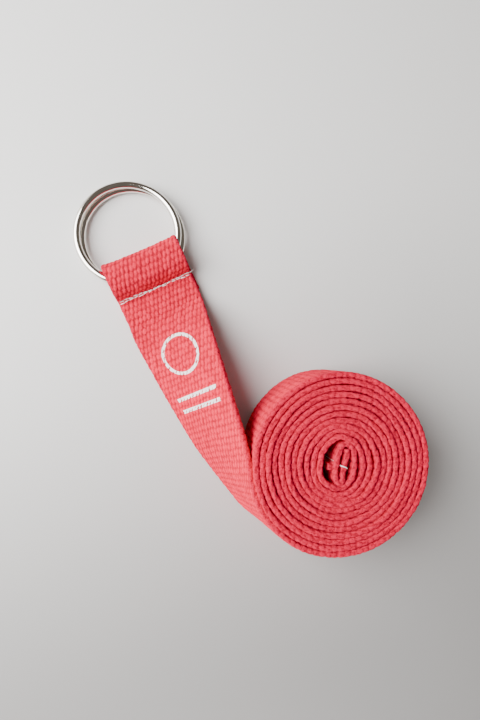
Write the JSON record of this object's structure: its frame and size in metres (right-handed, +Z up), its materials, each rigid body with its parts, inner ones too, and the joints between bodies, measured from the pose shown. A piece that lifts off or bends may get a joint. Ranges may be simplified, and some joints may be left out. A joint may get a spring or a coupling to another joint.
{
  "type": "stretching strap",
  "caption": "Cotton webbing stretching strap, rolled up on edge, with its outer end twisted flat and sewn into a loop that holds steel cinch rings.",
  "frame": {"origin": "on the table under the middle of the roll, at the foot of the tail hem", "axes": "+Z up along the roll's axis, +Y from the roll towards the rings, +X across the flat end of the strap"},
  "size_m": [0.107, 0.2001, 0.0381],
  "materials": {
    "webbing": "coarse woven cotton webbing, matt",
    "rolled_webbing": "coarse woven cotton webbing seen on its edges, matt",
    "thread": "white sewing thread",
    "ring_steel": "polished nickel plate on steel wire"
  },
  "bodies": {
    "rolled_core": {"roll_core": "rolled_webbing", "hem_needle_thread": "thread", "hem_bobbin_thread": "thread"},
    "turn_length_01": {"outer_turn_01": "webbing"},
    "turn_length_02": {"outer_turn_02": "webbing"},
    "turn_length_03": {"outer_turn_03": "webbing"},
    "turn_length_04": {"outer_turn_04": "webbing"},
    "turn_length_05": {"outer_turn_05": "webbing"},
    "turn_length_06": {"outer_turn_06": "webbing"},
    "turn_length_07": {"outer_turn_07": "webbing"},
    "turn_length_08": {"outer_turn_08": "webbing"},
    "turn_length_09": {"outer_turn_09": "webbing"},
    "turn_length_10": {"outer_turn_10": "webbing"},
    "turn_length_11": {"outer_turn_11": "webbing"},
    "lead": {"outer_turn_12": "webbing", "lead_strap": "webbing"},
    "sewn_loop": {"loop_eye": "webbing", "seam_needle_thread": "thread", "seam_bobbin_thread": "thread"},
    "ring_low": {"lower_ring": "ring_steel"},
    "ring_top": {"upper_ring": "ring_steel"}
  },
  "joints": [
    {"name": "unroll_01", "type": "hinge", "parent": "rolled_core", "child": "turn_length_01", "pos_m": [-0.0378, 0, 0.019], "axis": [0, 0, 1], "range_deg": [0, 30]},
    {"name": "unroll_02", "type": "hinge", "parent": "turn_length_01", "child": "turn_length_02", "pos_m": [-0.03255, 0.01957, 0.019], "axis": [0, 0, 1], "range_deg": [0, 30]},
    {"name": "unroll_03", "type": "hinge", "parent": "turn_length_02", "child": "turn_length_03", "pos_m": [-0.01823, 0.0339, 0.019], "axis": [0, 0, 1], "range_deg": [0, 30]},
    {"name": "unroll_04", "type": "hinge", "parent": "turn_length_03", "child": "turn_length_04", "pos_m": [0.00135, 0.03915, 0.019], "axis": [0, 0, 1], "range_deg": [0, 30]},
    {"name": "unroll_05", "type": "hinge", "parent": "turn_length_04", "child": "turn_length_05", "pos_m": [0.02092, 0.0339, 0.019], "axis": [0, 0, 1], "range_deg": [0, 30]},
    {"name": "unroll_06", "type": "hinge", "parent": "turn_length_05", "child": "turn_length_06", "pos_m": [0.03525, 0.01957, 0.019], "axis": [0, 0, 1], "range_deg": [0, 30]},
    {"name": "unroll_07", "type": "hinge", "parent": "turn_length_06", "child": "turn_length_07", "pos_m": [0.0405, 0, 0.019], "axis": [0, 0, 1], "range_deg": [0, 30]},
    {"name": "unroll_08", "type": "hinge", "parent": "turn_length_07", "child": "turn_length_08", "pos_m": [0.03507, -0.02025, 0.019], "axis": [0, 0, 1], "range_deg": [0, 30]},
    {"name": "unroll_09", "type": "hinge", "parent": "turn_length_08", "child": "turn_length_09", "pos_m": [0.02025, -0.03507, 0.019], "axis": [0, 0, 1], "range_deg": [0, 30]},
    {"name": "unroll_10", "type": "hinge", "parent": "turn_length_09", "child": "turn_length_10", "pos_m": [0, -0.0405, 0.019], "axis": [0, 0, 1], "range_deg": [0, 30]},
    {"name": "unroll_11", "type": "hinge", "parent": "turn_length_10", "child": "turn_length_11", "pos_m": [-0.02025, -0.03507, 0.019], "axis": [0, 0, 1], "range_deg": [0, 30]},
    {"name": "unroll_12", "type": "hinge", "parent": "turn_length_11", "child": "lead", "pos_m": [-0.03507, -0.02025, 0.019], "axis": [0, 0, 1], "range_deg": [0, 30]},
    {"name": "loop_bend", "type": "hinge", "parent": "lead", "child": "sewn_loop", "pos_m": [-0.0411, 0.0953, 0.0036], "axis": [1, 0, 0], "range_deg": [0, 90]},
    {"name": "rings_lift", "type": "hinge", "parent": "sewn_loop", "child": "ring_low", "pos_m": [-0.0411, 0.10975, 0.00492], "axis": [1, 0, 0], "range_deg": [-0.8, 3.5]},
    {"name": "ring_open", "type": "hinge", "parent": "ring_low", "child": "ring_top", "pos_m": [-0.0411, 0.11059, 0.00832], "axis": [1, 0, 0], "range_deg": [0, 3.8]}
  ],
  "couplings": [
    {"joint": "unroll_02", "follows": "unroll_01", "ratio": 1},
    {"joint": "unroll_03", "follows": "unroll_01", "ratio": 1},
    {"joint": "unroll_04", "follows": "unroll_01", "ratio": 1},
    {"joint": "unroll_05", "follows": "unroll_01", "ratio": 1},
    {"joint": "unroll_06", "follows": "unroll_01", "ratio": 1},
    {"joint": "unroll_07", "follows": "unroll_01", "ratio": 1},
    {"joint": "unroll_08", "follows": "unroll_01", "ratio": 1},
    {"joint": "unroll_09", "follows": "unroll_01", "ratio": 1},
    {"joint": "unroll_10", "follows": "unroll_01", "ratio": 1},
    {"joint": "unroll_11", "follows": "unroll_01", "ratio": 1},
    {"joint": "unroll_12", "follows": "unroll_01", "ratio": 1}
  ]
}
